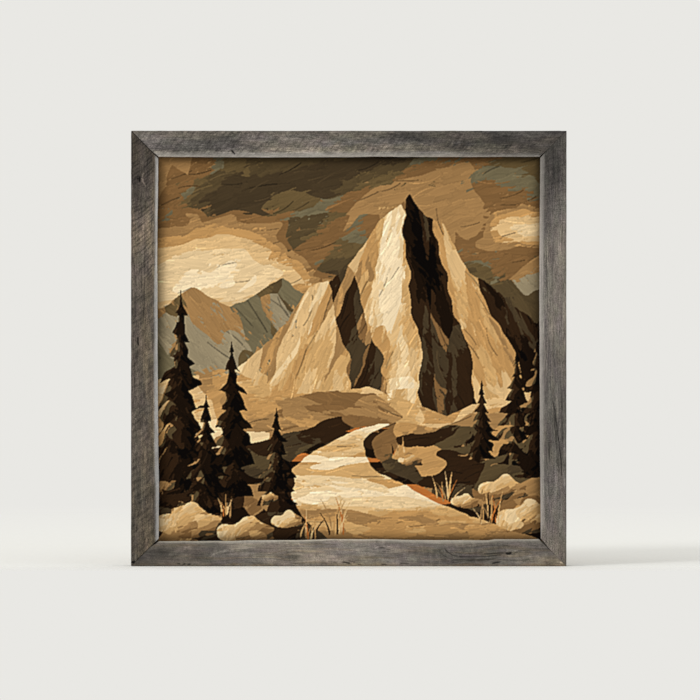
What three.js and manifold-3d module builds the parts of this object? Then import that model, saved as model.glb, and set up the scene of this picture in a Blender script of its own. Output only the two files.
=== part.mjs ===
// A square art print in a deep frame of weathered barn wood.
// Millimetres, +Z up. The picture faces -Y and the frame stands on its bottom rail: the origin is
// the centre of the footprint, on the surface that the frame stands on.

import * as THREE from "three";
import { mergeVertices } from "three/addons/utils/BufferGeometryUtils.js";
import Module from "manifold-3d";

const wasm = await Module();
wasm.setup();

// ------------------------------------------------------------------ driving sizes
const SIDE = 508; // outer width and height of the frame, 20 inches
const FACE = 31.2; // width of the moulding, seen from the front
const DEPTH = 38; // from the moulding's face to its back
const GAP = 0.3; // clearance between pieces that touch

const LIP = 4.5; // width of the sloped inner edge
const LIP_DROP = 4.2; // how far that slope falls back from the face
const WORN_EDGE = 1.1; // bevel that handling has worn on the outer front edge
const CHIP_SKEW = THREE.MathUtils.degToRad(4); // chips run a little off the grain
const LEDGE = 12.5; // depth of the rabbet's ledge, behind the face
const RABBET = 6; // how far the ledge reaches over the print

const PRINT_SIDE = 456.8;
const PRINT_THICK = 0.8;
const BOARD_THICK = 3;
const BACKING_SIDE = 455.6;
const BACKING_THICK = 2.5;

const POINT = { width: 9, thick: 0.5, driven: 6, showing: 10 }; // flexible framer's points
const POINTS_ALONG = [-150, 0, 150]; // places along each rail

const HANGER = { length: 64, height: 12, thick: 1, bridge: 38, rise: 1.6, teeth: 9, toothDeep: 2.2 };
const NAIL = { shaft: 0.7, head: 2, headThick: 0.6, long: 11 };
const NAIL_ALONG = [-27, 27]; // places along the top rail
const WEDGE = { leg: 8, thick: 0.5, deep: 10, halfAngle: THREE.MathUtils.degToRad(38), inset: 15 };
const BUMPER = { radius: 5.5, high: 3, inset: 36 };

// ------------------------------------------------------------------ derived places
const HALF = SIDE / 2;
const TOTAL_DEPTH = DEPTH + GAP + BUMPER.high;
const FRONT_Y = -TOTAL_DEPTH / 2; // the moulding's face
const BACK_Y = FRONT_Y + DEPTH; // the moulding's back
const WALL = FACE - RABBET; // thickness of the rail behind the ledge
const MITRE_SETBACK = GAP / Math.SQRT2;

const PRINT_Y = FRONT_Y + LEDGE + GAP;
const BOARD_Y = PRINT_Y + PRINT_THICK + GAP;
const BACKING_Y = BOARD_Y + BOARD_THICK + GAP;
const POINT_Y = BACKING_Y + BACKING_THICK + GAP;

// ------------------------------------------------------------------ materials
const finish = (color, roughness, metalness = 0) =>
  new THREE.MeshStandardMaterial({ color, roughness, metalness });

const printPaint = () => finish("#a27e50", 0.7);
const hardboard = () => finish("#6b4a30", 0.8);
const zincSteel = () => finish("#b9bcc0", 0.4, 1);
const brassSteel = () => finish("#a98b4c", 0.35, 1);
const darkRubber = () => finish("#2c2b2a", 0.8);

// ------------------------------------------------------------------ solids
function solid(geometry) {
  const bare = geometry.clone();
  bare.deleteAttribute("normal");
  bare.deleteAttribute("uv");
  const merged = mergeVertices(bare, 1e-4);
  const vertProperties = new Float32Array(merged.attributes.position.array);
  const triVerts = new Uint32Array(merged.index.array);
  return new wasm.Manifold(new wasm.Mesh({ numProp: 3, vertProperties, triVerts }));
}

function geometryOf(manifold) {
  const { vertProperties, triVerts } = manifold.getMesh();
  const geometry = new THREE.BufferGeometry();
  geometry.setAttribute("position", new THREE.BufferAttribute(vertProperties, 3));
  geometry.setIndex(new THREE.BufferAttribute(triVerts, 1));
  const faceted = geometry.toNonIndexed();
  faceted.computeVertexNormals();
  return faceted;
}

// A box given by its lowest and highest X, Y and Z.
function boxBetween([x0, x1], [y0, y1], [z0, z1]) {
  const box = new THREE.BoxGeometry(x1 - x0, y1 - y0, z1 - z0);
  return box.translate((x0 + x1) / 2, (y0 + y1) / 2, (z0 + z1) / 2);
}

function named(name, geometry, material) {
  const mesh = new THREE.Mesh(geometry, material);
  mesh.name = name;
  return mesh;
}

// ------------------------------------------------------------------ the four rails
// A rail is drawn as the bottom one: it runs along X, its outer edge is at z = -HALF and its section
// is (across, deep), with across counted inwards from the outer edge and deep backwards from the face.
// turn stands it on its own side in degrees, and farCorner is the corner that its +X end then reaches.
const RAILS = {
  bottom: { turn: 0, color: "#70685f", openEnds: [0.5, 0.1], farCorner: "bottom_right" },
  right: { turn: -90, color: "#69635c", openEnds: [0.1, 0.35], farCorner: "top_right" },
  top: { turn: 180, color: "#5e5952", openEnds: [0.35, 0.5], farCorner: "top_left" },
  left: { turn: 90, color: "#5d554a", openEnds: [0.5, 0.5], farCorner: "bottom_left" },
};

// Chips, cracks and open knots: the place along the rail from its middle and across it from the outer
// edge, half the length and width of what is gone, and its depth.
const WEAR = {
  bottom: [
    { along: -186, across: 0, long: 9, wide: 2.4, deep: 1.8 },
    { along: 121, across: 0, long: 7, wide: 2, deep: 1.4 },
    { along: 170, across: 3.5, long: 6, wide: 2.6, deep: 1.3 },
    { along: 187, across: 15, long: 5, wide: 2.2, deep: 1.2 },
  ],
  right: [
    { along: -92, across: 0, long: 12, wide: 1.8, deep: 1.6 },
    { along: 64, across: 0, long: 8, wide: 2, deep: 1.5 },
    { along: 6, across: 29, long: 14, wide: 2, deep: 1.6 },
  ],
  top: [
    { along: 135, across: 27, long: 7, wide: 2.6, deep: 2.2 },
    { along: -43, across: 0, long: 10, wide: 1.8, deep: 1.5 },
    { along: -217, across: 15, long: 4, wide: 1.6, deep: 1.2 },
  ],
  left: [
    { along: -197, across: 10, long: 11, wide: 3.2, deep: 1.8 },
    { along: -9, across: 8, long: 18, wide: 1.6, deep: 1.6 },
    { along: 88, across: 0, long: 11, wide: 2, deep: 1.6 },
    { along: 206, across: 6, long: 8, wide: 2.2, deep: 1.4 },
  ],
};

function railSection() {
  const section = new THREE.Shape();
  section.moveTo(0, WORN_EDGE);
  section.lineTo(WORN_EDGE, 0);
  section.lineTo(FACE - LIP, 0);
  section.lineTo(FACE, LIP_DROP);
  section.lineTo(FACE, LEDGE);
  section.lineTo(WALL, LEDGE);
  section.lineTo(WALL, DEPTH);
  section.lineTo(0, DEPTH);
  section.closePath();
  return section;
}

// The mitres: each end runs back at 45 degrees, and stands open at the face by openEnds. The
// extrusion runs from the rail's far end, at +X, to its near one, so that its faces point out.
function mitredRail([openNear, openFar]) {
  const geometry = new THREE.ExtrudeGeometry(railSection(), { depth: 1, bevelEnabled: false });
  const position = geometry.attributes.position;
  for (let i = 0; i < position.count; i += 1) {
    const across = position.getX(i);
    const deep = position.getY(i);
    const isFar = position.getZ(i) < 0.5;
    const opened = (isFar ? openFar : openNear) * (1 - deep / DEPTH);
    const reach = HALF - across - MITRE_SETBACK - opened;
    position.setXYZ(i, isFar ? reach : -reach, FRONT_Y + deep, across - HALF);
  }
  return geometry;
}

function chip({ along, across, long, wide, deep }) {
  const gone = new THREE.IcosahedronGeometry(1, 1);
  gone.scale(long, deep, wide);
  gone.rotateY(CHIP_SKEW);
  return gone.translate(along, FRONT_Y, across - HALF);
}

function pointSlot(along) {
  const reach = POINT.width / 2 + GAP;
  return boxBetween(
    [along - reach, along + reach],
    [POINT_Y - GAP, POINT_Y + POINT.thick + GAP],
    [WALL - HALF - POINT.driven - GAP, WALL - HALF + 1],
  );
}

function railGeometry(side) {
  let rail = solid(mitredRail(RAILS[side].openEnds));
  const cuts = [...WEAR[side].map(chip), ...POINTS_ALONG.map(pointSlot), wedge(-1, GAP), wedge(1, GAP)];
  if (side === "top") cuts.push(...NAIL_ALONG.map(nailHole));
  for (const cut of cuts) rail = rail.subtract(solid(cut));
  return geometryOf(rail);
}

// ------------------------------------------------------------------ joining hardware
// A steel wedge, a V in plan, is pressed into the back across each mitre. Its point lies on the joint
// and looks outwards. swell makes the same shape larger all round, for the slot that it sits in.
function wedge(end, swell = 0) {
  const { leg, thick, deep, halfAngle, inset } = WEDGE;
  const outThroughBack = swell ? 1 : 0;
  const towardsPicture = end > 0 ? 0.75 * Math.PI : 0.25 * Math.PI;
  const [one, other] = [-1, 1].map((way) => {
    const strip = boxBetween(
      [-thick / 2 - swell, leg + swell],
      [BACK_Y - deep - swell, BACK_Y + outThroughBack],
      [-thick / 2 - swell, thick / 2 + swell],
    );
    strip.rotateY(-towardsPicture - way * halfAngle);
    return solid(strip.translate(end * (HALF - inset), 0, inset - HALF));
  });
  return geometryOf(one.add(other));
}

// A flexible point: a flat steel blade, driven into the rail, that holds the backing down.
function framersPoint(along) {
  const { width, thick, driven, showing } = POINT;
  const outline = new THREE.Shape();
  outline.moveTo(-width / 2, -driven);
  outline.lineTo(width / 2, -driven);
  outline.lineTo(width / 2, showing * 0.6);
  outline.lineTo(width / 6, showing);
  outline.lineTo(-width / 6, showing);
  outline.lineTo(-width / 2, showing * 0.6);
  outline.closePath();
  const blade = new THREE.ExtrudeGeometry(outline, { depth: thick, bevelEnabled: false });
  blade.rotateX(Math.PI / 2);
  return blade.translate(along, POINT_Y + thick, WALL - HALF);
}

// ------------------------------------------------------------------ hanger and bumpers
const HANGER_Z = SIDE - WALL / 2;

// The sawtooth hanger: a strip whose middle stands off the wood, with teeth along its lower edge.
function sawtoothHanger() {
  const { length, height, thick, bridge, rise, teeth, toothDeep } = HANGER;
  const ramp = rise * 1.4;
  const strip = new THREE.Shape();
  const under = [
    [-length / 2, 0],
    [-bridge / 2 - ramp, 0],
    [-bridge / 2, rise],
    [bridge / 2, rise],
    [bridge / 2 + ramp, 0],
    [length / 2, 0],
  ];
  const over = under.map(([x, y]) => [x, y + thick]).reverse();
  strip.setFromPoints([...under, ...over].map(([x, y]) => new THREE.Vector2(x, y)));
  const bent = new THREE.ExtrudeGeometry(strip, { depth: height, bevelEnabled: false });
  bent.translate(0, BACK_Y + GAP, HANGER_Z - height / 2);
  let hanger = solid(bent);
  const pitch = bridge / teeth;
  for (let i = 0; i < teeth; i += 1) {
    const notch = new THREE.CylinderGeometry(pitch * 0.46, pitch * 0.46, 4 * rise, 4);
    notch.scale(1, 1, toothDeep / (pitch * 0.46));
    notch.translate((i + 0.5) * pitch - bridge / 2, BACK_Y + rise, HANGER_Z - height / 2);
    hanger = hanger.subtract(solid(notch));
  }
  for (const along of NAIL_ALONG) {
    const hole = new THREE.CylinderGeometry(NAIL.shaft + GAP, NAIL.shaft + GAP, 4 * thick, 12);
    hanger = hanger.subtract(solid(hole.translate(along, BACK_Y + GAP, HANGER_Z)));
  }
  return geometryOf(hanger);
}

const NAIL_SEAT_Y = BACK_Y + GAP + HANGER.thick + GAP; // underside of the nails' heads

function nail() {
  const { shaft, head, headThick, long } = NAIL;
  const profile = [
    [0, -long],
    [shaft, 2 - long],
    [shaft, 0],
    [head, 0],
    [head, headThick * 0.6],
    [head * 0.7, headThick],
    [0, headThick],
  ];
  return new THREE.LatheGeometry(profile.map(([x, y]) => new THREE.Vector2(x, y)), 12);
}

// The nails' holes in the top rail, in the rail's own place.
function nailHole(along) {
  const low = NAIL_SEAT_Y - NAIL.long - GAP;
  const tall = BACK_Y + 1 - low;
  const hole = new THREE.CylinderGeometry(NAIL.shaft + GAP, NAIL.shaft + GAP, tall, 12);
  return hole.translate(along, low + tall / 2, WALL / 2 - HALF);
}

function bumper() {
  const { radius, high } = BUMPER;
  const dome = [
    [0, 0],
    [radius, 0],
    [radius, high * 0.35],
    [radius * 0.86, high * 0.8],
    [radius * 0.6, high],
    [0, high],
  ];
  return new THREE.LatheGeometry(dome.map(([x, y]) => new THREE.Vector2(x, y)), 24);
}

// ------------------------------------------------------------------ assembly
const panel = (side, thick) => new THREE.BoxGeometry(side, thick, side).translate(0, thick / 2, 0);

function railGroup(side) {
  const group = new THREE.Group();
  group.position.z = HALF;
  group.rotation.y = THREE.MathUtils.degToRad(RAILS[side].turn);
  group.add(named(`frame_rail_${side}`, railGeometry(side), finish(RAILS[side].color, 0.9)));
  POINTS_ALONG.forEach((along, i) => {
    group.add(named(`framers_point_${side}_${i + 1}`, framersPoint(along), zincSteel()));
  });
  group.add(named(`corner_wedge_${RAILS[side].farCorner}`, wedge(1), zincSteel()));
  return group;
}

function picture() {
  const group = new THREE.Group();
  group.position.z = HALF;
  const layers = [
    ["art_print", PRINT_SIDE, PRINT_THICK, PRINT_Y, printPaint()],
    ["art_board", PRINT_SIDE, BOARD_THICK, BOARD_Y, hardboard()],
    ["backing_board", BACKING_SIDE, BACKING_THICK, BACKING_Y, hardboard()],
  ];
  for (const [name, side, thick, y, material] of layers) {
    const mesh = named(name, panel(side, thick), material);
    mesh.position.y = y;
    group.add(mesh);
  }
  return group;
}

function rearFittings() {
  const group = new THREE.Group();
  group.add(named("sawtooth_hanger", sawtoothHanger(), brassSteel()));
  const sides = ["left", "right"];
  sides.forEach((name, i) => {
    const pin = named(`hanger_nail_${name}`, nail(), brassSteel());
    pin.position.set(NAIL_ALONG[i], NAIL_SEAT_Y, HANGER_Z);
    const foot = named(`rear_bumper_${name}`, bumper(), darkRubber());
    foot.position.set((i ? 1 : -1) * (HALF - BUMPER.inset), BACK_Y + GAP, WALL / 2);
    group.add(pin, foot);
  });
  return group;
}

const framedPrint = new THREE.Group();
framedPrint.add(...Object.keys(RAILS).map(railGroup), picture(), rearFittings());

export default framedPrint;
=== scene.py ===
import math

import bpy
import numpy as np
from mathutils import Matrix, Vector


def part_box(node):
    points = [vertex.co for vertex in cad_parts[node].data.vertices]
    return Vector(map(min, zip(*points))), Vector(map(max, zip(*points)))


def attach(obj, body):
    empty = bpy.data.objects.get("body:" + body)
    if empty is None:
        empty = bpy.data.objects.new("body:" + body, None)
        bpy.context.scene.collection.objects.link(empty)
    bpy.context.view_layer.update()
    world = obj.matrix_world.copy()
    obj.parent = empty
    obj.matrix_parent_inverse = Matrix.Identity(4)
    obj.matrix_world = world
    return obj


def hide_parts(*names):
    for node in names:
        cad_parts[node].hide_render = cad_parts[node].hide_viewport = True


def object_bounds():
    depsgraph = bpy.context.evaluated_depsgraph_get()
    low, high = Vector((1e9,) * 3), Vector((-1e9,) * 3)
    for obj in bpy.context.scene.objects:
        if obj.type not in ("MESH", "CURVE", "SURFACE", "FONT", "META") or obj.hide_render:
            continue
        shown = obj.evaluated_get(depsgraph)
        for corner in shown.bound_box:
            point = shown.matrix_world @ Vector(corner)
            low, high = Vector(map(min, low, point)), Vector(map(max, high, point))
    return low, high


# The looks of a square art print in a deep frame of weathered wood, which stands on its bottom rail with
# its middle at x = 0 and faces -y. The rails, the print and the backing are finer meshes than the solids.
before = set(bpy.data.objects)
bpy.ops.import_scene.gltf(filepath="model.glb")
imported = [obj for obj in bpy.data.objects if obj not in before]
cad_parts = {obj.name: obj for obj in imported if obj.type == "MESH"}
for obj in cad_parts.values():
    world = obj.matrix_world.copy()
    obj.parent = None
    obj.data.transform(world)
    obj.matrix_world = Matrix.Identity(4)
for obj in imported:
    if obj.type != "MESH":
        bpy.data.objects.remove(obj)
cad_low, cad_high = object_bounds()

# ---- sizes, in metres
MM = 0.001
SIDE = cad_high.x - cad_low.x  # outer width and height of the frame
HALF = SIDE / 2
RAIL_LOW, RAIL_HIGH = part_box("frame_rail_bottom")
FACE = RAIL_HIGH.z - RAIL_LOW.z  # width of the moulding from the front
DEPTH = RAIL_HIGH.y - RAIL_LOW.y
FRONT_Y = RAIL_LOW.y
PRINT_LOW, PRINT_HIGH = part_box("art_print")

# The section of the moulding, as the solids have it
GAP = 0.3 * MM  # between pieces that touch
OUTER_ROUND = 1.2 * MM  # radius of the outer front edge
LIP = 4.5 * MM  # width and depth of the slope at the inner edge
LIP_DROP = 4.2 * MM
LEDGE = PRINT_LOW.y - GAP - FRONT_Y  # how deep the print lies
WALL = FACE - 6 * MM  # how far across the rabbet's wall stands


# ---- repeatable noise
def lattice(ix, iy, seed):
    """A random number from 0 to 1 for each whole-numbered point, the same in every run."""
    h = (ix.astype(np.int64) * 374761393 + iy.astype(np.int64) * 668265263 + seed * 974634777) & 0xFFFFFFFF
    h = ((h ^ (h >> 13)) * 1274126177) & 0xFFFFFFFF
    return ((h ^ (h >> 16)) & 0xFFFFFFFF) / 0xFFFFFFFF


def ease(t):
    return t * t * (3 - 2 * t)


def step(low, high, x):
    """0 below low, 1 above high and smooth between."""
    return ease(np.clip((x - low) / (high - low), 0, 1))


def noise(x, y, seed):
    """Smooth noise from 0 to 1 with features one unit across."""
    ix, iy = np.floor(x), np.floor(y)
    u, v = ease(x - ix), ease(y - iy)
    low = lattice(ix, iy, seed) * (1 - u) + lattice(ix + 1, iy, seed) * u
    high = lattice(ix, iy + 1, seed) * (1 - u) + lattice(ix + 1, iy + 1, seed) * u
    return low * (1 - v) + high * v


def fractal(x, y, seed, octaves=4):
    """Noise with finer noise on it, from 0 to 1 around a half."""
    total, weight, norm = 0.0, 1.0, 0.0
    shift_x, shift_y = 17.3, -9.1
    for k in range(octaves):
        total = total + weight * noise(x * 2**k + shift_x * k, y * 2**k + shift_y * k, seed + 31 * k)
        norm += weight
        weight *= 0.55
    return total / norm


def ripple(x, y, seed, octaves=4):
    """The same noise around nothing, from -0.5 to 0.5."""
    return fractal(x, y, seed, octaves) - 0.5


def bell(x, width):
    """1 at nothing, falling off smoothly over the width to either side."""
    return np.exp(-((x / width) ** 2))


# ---- node helpers
class Nodes:
    """A material's node tree, with short calls for the nodes used here. A value is a number, a colour or
    another node's output."""

    def __init__(self, name):
        self.material = bpy.data.materials.new(name)
        self.material.use_nodes = True
        self.tree = self.material.node_tree
        self.shader = self.tree.nodes["Principled BSDF"]

    def put(self, socket, value):
        if isinstance(value, bpy.types.NodeSocket):
            self.tree.links.new(value, socket)
        else:
            socket.default_value = value

    def add(self, kind, values=(), **settings):
        """A new node, with values for its inputs by their name or number."""
        node = self.tree.nodes.new(kind)
        for key, value in settings.items():
            setattr(node, key, value)
        for key, value in dict(values).items():
            self.put(node.inputs[key], value)
        return node

    def place(self):
        return self.add("ShaderNodeTexCoord").outputs["Object"]

    def attribute(self, name):
        return self.add("ShaderNodeAttribute", attribute_name=name)

    def noise(self, vector, scale, detail, rough, distortion=0.0):
        """scale is how fine the noise is, as one number or as one for each axis."""
        if isinstance(scale, tuple):
            vector = self.add("ShaderNodeMapping", {"Vector": vector, "Scale": scale}).outputs["Vector"]
            scale = 1.0
        values = {
            "Vector": vector, "Scale": scale, "Detail": detail, "Roughness": rough, "Distortion": distortion
        }
        return self.add("ShaderNodeTexNoise", values).outputs["Fac"]

    def remap(self, value, low, high, to_low=0.0, to_high=1.0):
        values = {"Value": value, "From Min": low, "From Max": high, "To Min": to_low, "To Max": to_high}
        return self.add("ShaderNodeMapRange", values).outputs["Result"]

    def vary(self, noise, low, high):
        """From low to high over the middle of a noise's range."""
        return self.remap(noise, 0.3, 0.7, low, high)

    def math(self, operation, a, b):
        return self.add("ShaderNodeMath", {0: a, 1: b}, operation=operation).outputs["Value"]

    def plus(self, first, *others):
        for other in others:
            first = self.math("ADD", first, other)
        return first

    def times(self, first, *others):
        for other in others:
            first = self.math("MULTIPLY", first, other)
        return first

    def mix(self, share, a, b):
        values = {"Factor": share, "A": a, "B": b}
        return self.add("ShaderNodeMix", values, data_type="RGBA").outputs["Result"]

    def brighten(self, color, light):
        """A colour times a number."""
        values = {"Vector": color, "Scale": light}
        return self.add("ShaderNodeVectorMath", values, operation="SCALE").outputs["Vector"]

    def bump(self, height, distance, strength):
        values = {"Height": height, "Distance": distance, "Strength": strength}
        self.put(self.shader.inputs["Normal"], self.add("ShaderNodeBump", values).outputs["Normal"])

    def finish(self, color, roughness, specular, metallic=0.0):
        names = "Base Color", "Roughness", "Specular IOR Level", "Metallic"
        for name, value in zip(names, (color, roughness, specular, metallic)):
            self.put(self.shader.inputs[name], value)
        return self.material


def linear(color):
    """Colours as a painter matches them by eye, 0 to 255, turned into the renderer's linear light."""
    part = np.clip(np.asarray(color, float), 0, 255) / 255
    return np.where(part > 0.04, ((part + 0.055) / 1.055) ** 2.4, part / 12.92)


def paint(r, g, b):
    return (*linear((r, g, b)), 1.0)


def blend(first, second, share):
    """From one colour to another, point by point."""
    first, second = np.asarray(first, float), np.asarray(second, float)
    return first + (second - first) * np.asarray(share)[..., None]


# ---- meshes from arrays
def mesh_object(name, points, quads, caps, material):
    """A mesh from arrays of corners: four to a row in quads, and any number in each list of caps."""
    quads = np.asarray(quads, np.int32).reshape(-1, 4)
    sizes = np.array([4] * len(quads) + [len(cap) for cap in caps], np.int32)
    corners = np.concatenate([quads.ravel()] + [np.asarray(cap, np.int32) for cap in caps])
    data = bpy.data.meshes.new(name)
    data.vertices.add(len(points))
    data.vertices.foreach_set("co", np.ascontiguousarray(points, np.float32).ravel())
    data.loops.add(len(corners))
    data.loops.foreach_set("vertex_index", corners)
    data.polygons.add(len(sizes))
    data.polygons.foreach_set("loop_start", np.concatenate([[0], np.cumsum(sizes)[:-1]]).astype(np.int32))
    data.update(calc_edges=True)
    data.validate()
    data.materials.append(material)
    made = bpy.data.objects.new(name, data)
    bpy.context.scene.collection.objects.link(made)
    return made


def bake_map(piece, places):
    """Where each corner of the faces lies on the flat sheet that the finish is baked on."""
    layer = piece.data.uv_layers.new(name="OFBake")
    layer.data.foreach_set("uv", np.ascontiguousarray(places, np.float32).ravel())


def point_attribute(piece, name, kind, values):
    field = {"FLOAT_COLOR": "color", "FLOAT_VECTOR": "vector", "FLOAT": "value"}[kind]
    attribute = piece.data.attributes.new(name, kind, "POINT")
    attribute.data.foreach_set(field, np.ascontiguousarray(values, np.float32).ravel())


def shade(piece, angle):
    """Smooth, but for edges where the faces turn by more than the angle, in degrees."""
    piece.data.shade_smooth()
    piece.data.set_sharp_from_angle(angle=math.radians(angle))


# ---- the weathered rails
STATION = 1.0 * MM  # spacing of the mesh along a rail
ON_FACE = 0.65 * MM  # and across its face

# A rail runs along its own X, which points right on the bottom rail, up on the right one, left on the top
# one and down on the left one; turn stands it there. Places on it are in millimetres: along it from its
# middle, and across it from the outer edge.
# mitres: how far the joint has opened at its two ends, at the outer and the inner corner of each.
# waves: how much the grain wanders. nose: places along the rail, and how far out the inner edge is there.
# lip: places along the rail, and where across it the pale worn band by that edge starts.
# lip_grows: over what width the band grows, and how much its start wanders.
# patch, cloud, streak, speck and fine: how strongly each of these lightens and darkens the wood.
# chatter: how strongly faint marks across the grain do, and how much these lean. cracks: how many.
# The colours are the grey skin where it is cool and where warm, bare wood, and the rubbed lip.
# The rubbed lip's colour is pale worn wood with painted light in it: it is lighter on the left and top
# rails, whose lips face away from the key light, and darker on the right and bottom ones, which face it.
# fade: how light the board is, in long stretches: places along it, and the lightness there.
RAILS = {
    "bottom": dict(
        turn=0, seed=11, mitres=((0.14, 0.2), (0.03, 0.5)), waves=6.5, lip_grows=(3.4, 1.2),
        nose=((-212, -2.2), (-137, -1.9), (-115, -1.1), (-60, -1.1), (-25, 0.1), (40, 0), (68, -0.6),
              (100, -1), (163, -1.1), (171, 0.1)),
        lip=((-250, 26.8), (-130, 27), (-60, 27.4), (-25, 28), (35, 28), (60, 26.9), (105, 26), (160, 26),
             (175, 26.9), (205, 27.6), (250, 28.6)),
        patch=0.4, cloud=0.28, streak=0.34, speck=0.24, chatter=(0.22, 0.2), fine=1.7, cracks=34,
        cool=(124, 117, 111), warm=(128, 119, 108), bare=(138, 121, 98), rubbed=(169, 165, 155),
        fade=((-250, 0.62), (-200, 0.72), (-140, 0.84), (-40, 1), (30, 1), (110, 0.82), (175, 0.78),
              (250, 0.9)),
    ),
    "right": dict(
        turn=-90, seed=23, mitres=((0.03, 0.5), (0.05, 0.08)), waves=1.2, lip_grows=(4.4, 0.8),
        nose=((-217, -1.45), (-180, -1.2), (-143, -0.8), (-87, -0.4), (-20, -0.1), (60, 0.15), (100, 0.1),
              (150, -0.2), (212, -0.75)),
        lip=((-250, 31), (-222, 29), (-204, 25.4), (-150, 24.8), (250, 24.8)),
        patch=0.2, cloud=0.16, streak=0.6, speck=0.22, chatter=(0.12, 0.2), fine=2.9, cracks=70,
        cool=(116, 110, 105), warm=(118, 111, 103), bare=(128, 118, 105), rubbed=(156, 151, 145),
        fade=((-250, 0.92), (-160, 0.93), (-105, 0.8), (-55, 0.9), (0, 0.9), (40, 1), (130, 1), (200, 0.66),
              (250, 0.62)),
    ),
    "top": dict(
        turn=180, seed=37, mitres=((0.05, 0.08), (0.2, 0.25)), waves=1.4, lip_grows=(7.4, 0.6),
        nose=((-199, -1.1), (-105, -0.8), (-31, -1.2), (7, -0.7), (81, -0.4), (156, -0.7), (212, -0.95)),
        lip=((-250, 24.2), (-165, 23.8), (-120, 22.4), (250, 22.4)),
        patch=0.46, cloud=0.26, streak=0.24, speck=0.54, chatter=(0.4, -0.7), fine=2.6, cracks=26,
        cool=(103, 98, 94), warm=(109, 102, 93), bare=(135, 126, 112), rubbed=(182, 178, 172),
        fade=((-250, 0.74), (-190, 0.7), (-100, 0.78), (-40, 0.9), (30, 1), (120, 1), (165, 0.92),
              (250, 1.08)),
    ),
    "left": dict(
        turn=90, seed=53, mitres=((0.2, 0.25), (0.14, 0.2)), waves=1.2, lip_grows=(3, 0.4),
        nose=((-250, 0.2), (-180, 0.1), (-156, -0.6), (-100, -0.8), (-25, -0.6), (31, -0.3), (87, 0.1),
              (124, 0.5), (161, 1), (217, 0.8)),
        lip=((-250, 26.8), (-110, 26.6), (-70, 26), (90, 25.6), (160, 26), (230, 26.6), (250, 27.2)),
        patch=0.34, cloud=0.2, streak=0.46, speck=0.38, chatter=(0.26, 0.8), fine=2.9, cracks=44,
        cool=(102, 93, 84), warm=(107, 96, 82), bare=(116, 103, 85), rubbed=(199, 200, 201),
        fade=((-250, 0.75), (-205, 0.79), (-150, 1), (-110, 1.02), (-60, 0.93), (80, 0.92), (130, 0.84),
              (250, 0.84)),
    ),
}

# Zones of saw marks: from and to along, from and to across, slope, pitch and strength.
SAW_MARKS = {
    "bottom": [
        (-184, -158, 14, 28, 0.2, 2.1, 0.55), (192, 214, 2, 14, 0.1, 2.6, 0.7),
        (40, 110, 0, 9, 0.3, 3.1, 0.3),
    ],
    "right": [(150, 245, 2, 26, 0.25, 5.5, 0.3)],
    "top": [(70, 245, 0, 25, -0.7, 8.5, 0.4), (-90, 60, 6, 26, -0.75, 6.2, 0.35)],
    "left": [
        (-252, -190, 0, 27, 0.9, 4.6, 1.1), (-205, -75, 0, 27, 0.8, 4.8, 1),
        (-90, 30, 0, 27, 0.7, 5.6, 0.35), (10, 250, 0, 27, 0.85, 8.5, 0.45),
    ],
}

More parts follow.
